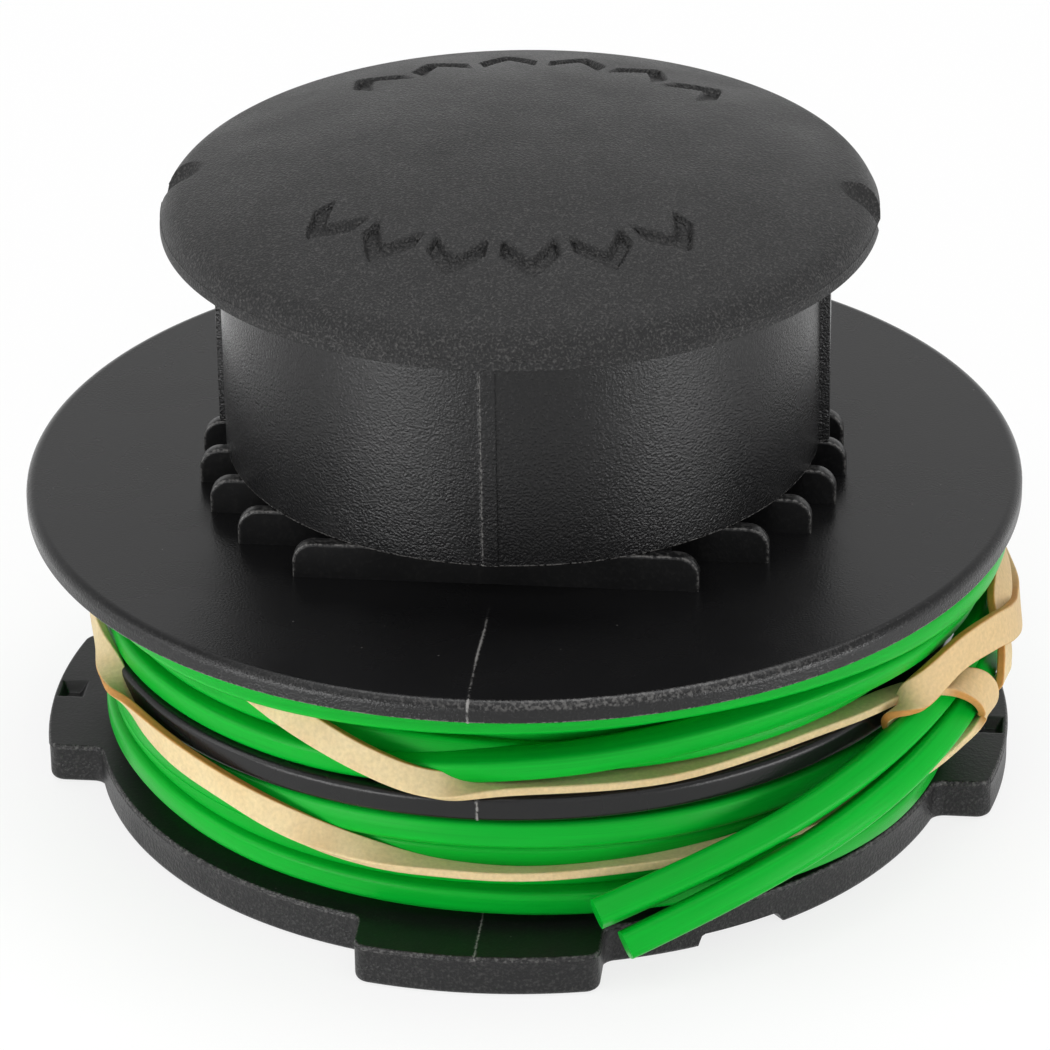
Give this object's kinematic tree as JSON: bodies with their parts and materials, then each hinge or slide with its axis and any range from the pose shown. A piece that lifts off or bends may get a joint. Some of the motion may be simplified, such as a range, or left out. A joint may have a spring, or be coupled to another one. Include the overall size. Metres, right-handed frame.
{
  "type": "trimmer line spool",
  "caption": "Trimmer line spool: domed knob on a neck above a wide flange, divided drum wound with green line, lugged bottom flange, and a rubber band that holds the line.",
  "frame": {"origin": "on the spool's axis, in the plane of the bottom flange's underside", "axes": "+Z along the axis towards the knob, -Y towards the front end of the mould seam, +X towards a side lug with a gate mark"},
  "size_m": [0.07, 0.07, 0.0483],
  "materials": {
    "black_plastic": "moulded, finely grained",
    "green_line": "extruded, glossy",
    "tan_rubber": "smooth, dull"
  },
  "bodies": {
    "root": {"spool": "black_plastic", "upper_line_winding": "green_line", "lower_line_winding": "green_line", "upper_line_tail": "green_line", "lower_line_tail": "green_line", "rubber_band": "tan_rubber"}
  },
  "joints": []
}
